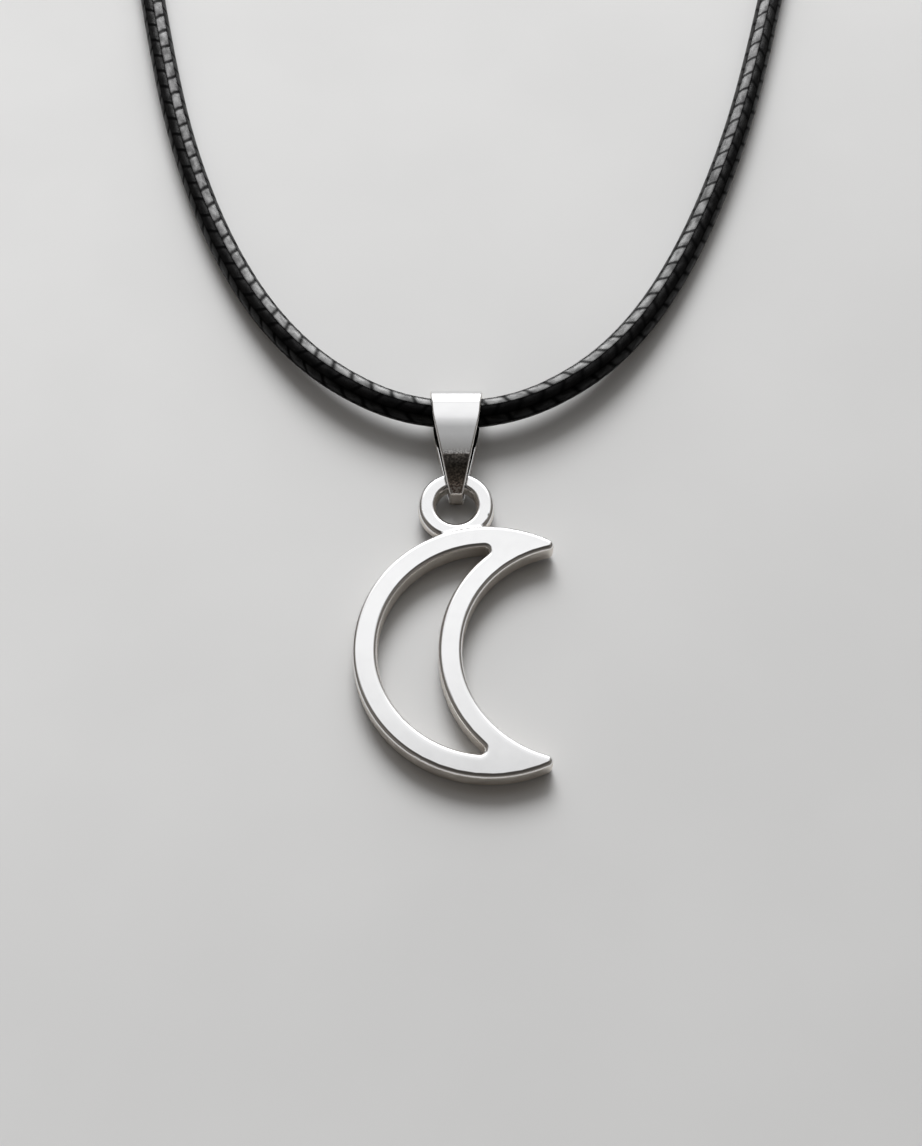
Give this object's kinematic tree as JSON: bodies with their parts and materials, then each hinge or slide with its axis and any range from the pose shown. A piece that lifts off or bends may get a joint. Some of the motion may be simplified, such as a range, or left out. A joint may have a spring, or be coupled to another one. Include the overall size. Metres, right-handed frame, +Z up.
{
  "type": "crescent moon pendant necklace",
  "caption": "Open crescent moon pendant whose top ring hangs from a tapered pinch bail on a round braided cord loop, closed at the back by a plain barrel clasp.",
  "frame": {"origin": "middle of the necklace's footprint, on the surface that it lies on", "axes": "+Y from the pendant towards the clasp, +Z up out of the surface and out of the pendant's face, +X towards the side where the crescent opens"},
  "size_m": [0.0733, 0.2251, 0.004],
  "materials": {
    "polished_metal": "bright polished stainless steel with softened edges",
    "waxed_cord": "glossy black waxed braid"
  },
  "bodies": {
    "root": {"crescent_pendant": "polished_metal", "pinch_bail": "polished_metal", "cord": "waxed_cord", "clasp": "polished_metal"}
  },
  "joints": []
}
